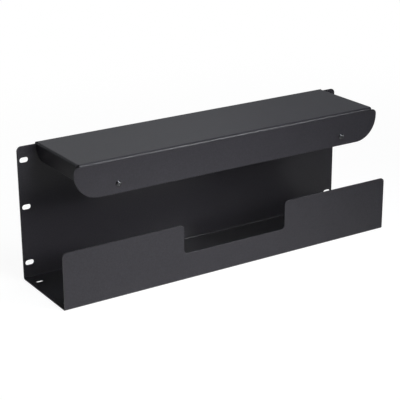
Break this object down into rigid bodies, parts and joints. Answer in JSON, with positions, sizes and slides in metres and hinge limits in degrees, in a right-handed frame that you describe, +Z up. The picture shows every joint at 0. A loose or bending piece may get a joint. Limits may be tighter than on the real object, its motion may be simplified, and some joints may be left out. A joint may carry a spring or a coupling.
{
  "type": "horizontal cable manager",
  "caption": "Horizontal cable trough for a 19 inch rack, four units high: slotted ears, notched front lip and a hood with its own lip, folded from one black powder coated steel sheet.",
  "frame": {"origin": "on the underside of the bottom pan, at the middle of the footprint", "axes": "+X along the rack's width, +Y towards the rack, from the front lips to the rear face of the back panel, +Z up"},
  "size_m": [0.4826, 0.115, 0.1752],
  "materials": {
    "powder_coat": "satin black powder coat with a fine texture on 1.5 mm steel",
    "black_oxide": "smooth black oxide on steel",
    "zinc_plate": "bright zinc plate on steel"
  },
  "bodies": {
    "root": {"folded_body": "powder_coat", "button_screws": "black_oxide", "clinch_nuts": "zinc_plate"}
  },
  "joints": []
}
